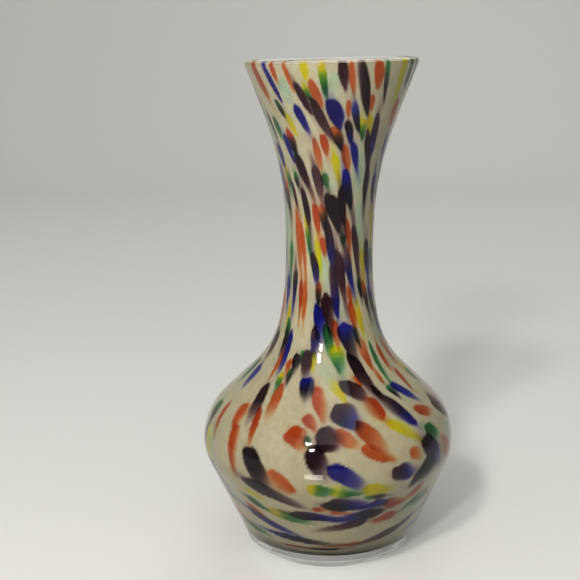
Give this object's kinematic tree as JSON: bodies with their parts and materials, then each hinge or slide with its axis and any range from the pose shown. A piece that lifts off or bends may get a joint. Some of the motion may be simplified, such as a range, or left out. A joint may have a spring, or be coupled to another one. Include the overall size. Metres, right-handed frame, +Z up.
{
  "type": "hand blown art glass vase",
  "caption": "Free-standing bottle-shaped glass vase with a flared mouth and round belly; holds stems and water.",
  "frame": {"origin": "middle of the plane that the foot stands on", "axes": "+Z up along the axis of the vase; -Y towards the front"},
  "size_m": [0.1224, 0.1224, 0.24],
  "materials": {
    "clear_glass": "clear, fire polished, slightly wavy",
    "opal_glass": "milky opal glass, smooth, faintly mottled",
    "aubergine_frit": "fused coloured glass chips with thinned edges",
    "cobalt_frit": "fused coloured glass chips with thinned edges",
    "red_frit": "fused coloured glass chips with thinned edges",
    "yellow_frit": "fused coloured glass chips with thinned edges",
    "green_frit": "fused coloured glass chips with thinned edges",
    "aqua_frit": "fused coloured glass chips with thinned edges"
  },
  "bodies": {
    "root": {"clear_casing": "clear_glass", "clear_foot": "clear_glass", "opal_core": "opal_glass", "frit_aubergine_flare": "aubergine_frit", "frit_aubergine_neck": "aubergine_frit", "frit_aubergine_shoulder": "aubergine_frit", "frit_aubergine_belly": "aubergine_frit", "frit_aubergine_heel": "aubergine_frit", "frit_cobalt_flare": "cobalt_frit", "frit_cobalt_neck": "cobalt_frit", "frit_cobalt_shoulder": "cobalt_frit", "frit_cobalt_belly": "cobalt_frit", "frit_cobalt_heel": "cobalt_frit", "frit_red_flare": "red_frit", "frit_red_neck": "red_frit", "frit_red_shoulder": "red_frit", "frit_red_belly": "red_frit", "frit_red_heel": "red_frit", "frit_yellow_flare": "yellow_frit", "frit_yellow_neck": "yellow_frit", "frit_yellow_shoulder": "yellow_frit", "frit_yellow_belly": "yellow_frit", "frit_yellow_heel": "yellow_frit", "frit_green_flare": "green_frit", "frit_green_neck": "green_frit", "frit_green_shoulder": "green_frit", "frit_green_belly": "green_frit", "frit_green_heel": "green_frit", "frit_aqua_flare": "aqua_frit", "frit_aqua_neck": "aqua_frit", "frit_aqua_shoulder": "aqua_frit", "frit_aqua_belly": "aqua_frit", "frit_aqua_heel": "aqua_frit"}
  },
  "joints": []
}
